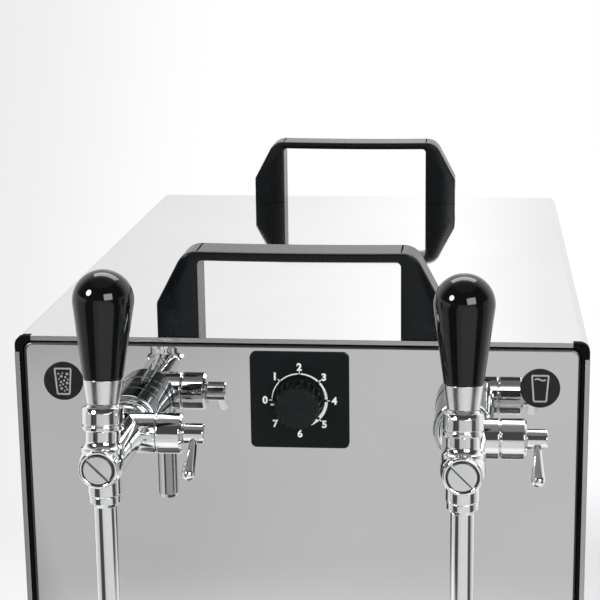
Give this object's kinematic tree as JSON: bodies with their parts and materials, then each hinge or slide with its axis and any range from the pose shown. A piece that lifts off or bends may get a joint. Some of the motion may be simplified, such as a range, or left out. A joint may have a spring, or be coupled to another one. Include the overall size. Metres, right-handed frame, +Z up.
{
  "type": "soda water dispenser",
  "caption": "Countertop soda water dispenser: steel case with sparkling and still compensator taps, thermostat dial, carry handles and a lift-off drip tray.",
  "frame": {"origin": "on the counter, under the middle of the object's bounding box", "axes": "+Z up, -Y out of the front with the taps, +X to the right as seen from the front"},
  "size_m": [0.2944, 0.549, 0.4368],
  "materials": {
    "bright_steel": "bright annealed, mirror-like",
    "plain_steel": "galvanised",
    "chrome": "polished",
    "satin_chrome": "satin",
    "black_plastic": "fine grain",
    "gloss_black": "gloss",
    "dial_black": "printed, half gloss",
    "rubber": "matt",
    "white_plastic": "smooth",
    "foam": "closed-cell foam",
    "black_paint": "painted",
    "aluminium": "mill",
    "copper": "drawn tube",
    "brass": "machined"
  },
  "bodies": {
    "case": {"base_tray": "plain_steel", "front_panel": "bright_steel", "cover": "bright_steel", "rear_panel": "plain_steel", "front_gasket": "rubber", "feet": "rubber", "case_screws": "plain_steel", "front_carry_handle": "black_plastic", "rear_carry_handle": "black_plastic", "handle_caps": "black_plastic", "handle_screws": "plain_steel", "dial_plate": "dial_black", "thermostat_body": "black_plastic", "sparkling_badge": "dial_black", "still_badge": "dial_black", "tray_studs": "plain_steel", "water_inlet": "white_plastic", "gas_inlet": "white_plastic", "cord_gland": "black_plastic", "compressor": "black_paint", "compressor_mounts": "rubber", "condenser": "aluminium", "fan_shroud": "black_plastic", "fan_motor": "black_plastic", "cooling_block": "foam", "carbonation_tank": "plain_steel", "water_pump": "black_paint", "water_lines": "white_plastic", "refrigerant_lines": "copper", "tap_back_nuts": "brass", "tap_union_nuts": "chrome", "sparkling_flange": "chrome", "sparkling_shank": "chrome", "sparkling_tap_body": "chrome", "sparkling_spout": "chrome", "sparkling_front_plug": "chrome", "sparkling_collar": "chrome", "sparkling_packing_nut": "chrome", "still_flange": "chrome", "still_shank": "chrome", "still_tap_body": "chrome", "still_spout": "chrome", "still_front_plug": "chrome", "still_collar": "chrome", "still_packing_nut": "chrome"},
    "knob": {"thermostat_knob": "gloss_black", "thermostat_spindle": "plain_steel"},
    "fan": {"fan_blades": "black_plastic"},
    "tray": {"drip_tray": "bright_steel"},
    "grate": {"drip_grate": "bright_steel"},
    "sparkling_handle": {"sparkling_lever": "satin_chrome", "sparkling_grip": "gloss_black"},
    "sparkling_valve": {"sparkling_plunger": "rubber"},
    "sparkling_flow_control": {"sparkling_flow_lever": "chrome"},
    "sparkling_flow_restrictor": {"sparkling_flow_cone": "white_plastic"},
    "still_handle": {"still_lever": "satin_chrome", "still_grip": "gloss_black"},
    "still_valve": {"still_plunger": "rubber"},
    "still_flow_control": {"still_flow_lever": "chrome"},
    "still_flow_restrictor": {"still_flow_cone": "white_plastic"}
  },
  "joints": [
    {"name": "knob_turn", "type": "hinge", "parent": "case", "child": "knob", "pos_m": [0, -0.1475, 0.3555], "axis": [0, 1, 0], "range_deg": [0, 310]},
    {"name": "fan_spin", "type": "hinge", "parent": "case", "child": "fan", "pos_m": [0.075, 0.2045, 0.107], "axis": [0, 1, 0], "continuous": true},
    {"name": "tray_lift", "type": "slide", "parent": "case", "child": "tray", "axis": [0, 0, 1], "range_m": [0, 0.06]},
    {"name": "grate_lift", "type": "slide", "parent": "tray", "child": "grate", "axis": [0, 0, 1], "range_m": [0, 0.06]},
    {"name": "sparkling_handle_pull", "type": "hinge", "parent": "case", "child": "sparkling_handle", "pos_m": [-0.083, -0.2226, 0.3692], "axis": [1, 0, 0], "range_deg": [0, 22]},
    {"name": "sparkling_valve_slide", "type": "slide", "parent": "case", "child": "sparkling_valve", "axis": [0, 1, 0], "range_m": [0, 0.0063]},
    {"name": "sparkling_flow_turn", "type": "hinge", "parent": "case", "child": "sparkling_flow_control", "pos_m": [-0.053, -0.1825, 0.3485], "axis": [1, 0, 0], "range_deg": [-45, 45]},
    {"name": "sparkling_flow_slide", "type": "slide", "parent": "case", "child": "sparkling_flow_restrictor", "axis": [0, -1, 0], "range_m": [-0.00177, 0.00177]},
    {"name": "still_handle_pull", "type": "hinge", "parent": "case", "child": "still_handle", "pos_m": [0.083, -0.2226, 0.3692], "axis": [1, 0, 0], "range_deg": [0, 22]},
    {"name": "still_valve_slide", "type": "slide", "parent": "case", "child": "still_valve", "axis": [0, 1, 0], "range_m": [0, 0.0063]},
    {"name": "still_flow_turn", "type": "hinge", "parent": "case", "child": "still_flow_control", "pos_m": [0.113, -0.1825, 0.3485], "axis": [1, 0, 0], "range_deg": [-45, 45]},
    {"name": "still_flow_slide", "type": "slide", "parent": "case", "child": "still_flow_restrictor", "axis": [0, -1, 0], "range_m": [-0.00177, 0.00177]}
  ],
  "couplings": [
    {"joint": "sparkling_valve_slide", "follows": "sparkling_handle_pull", "m_per_rad": 0.016396},
    {"joint": "sparkling_flow_slide", "follows": "sparkling_flow_turn", "m_per_rad": 0.002251},
    {"joint": "still_valve_slide", "follows": "still_handle_pull", "m_per_rad": 0.016396},
    {"joint": "still_flow_slide", "follows": "still_flow_turn", "m_per_rad": 0.002251}
  ]
}
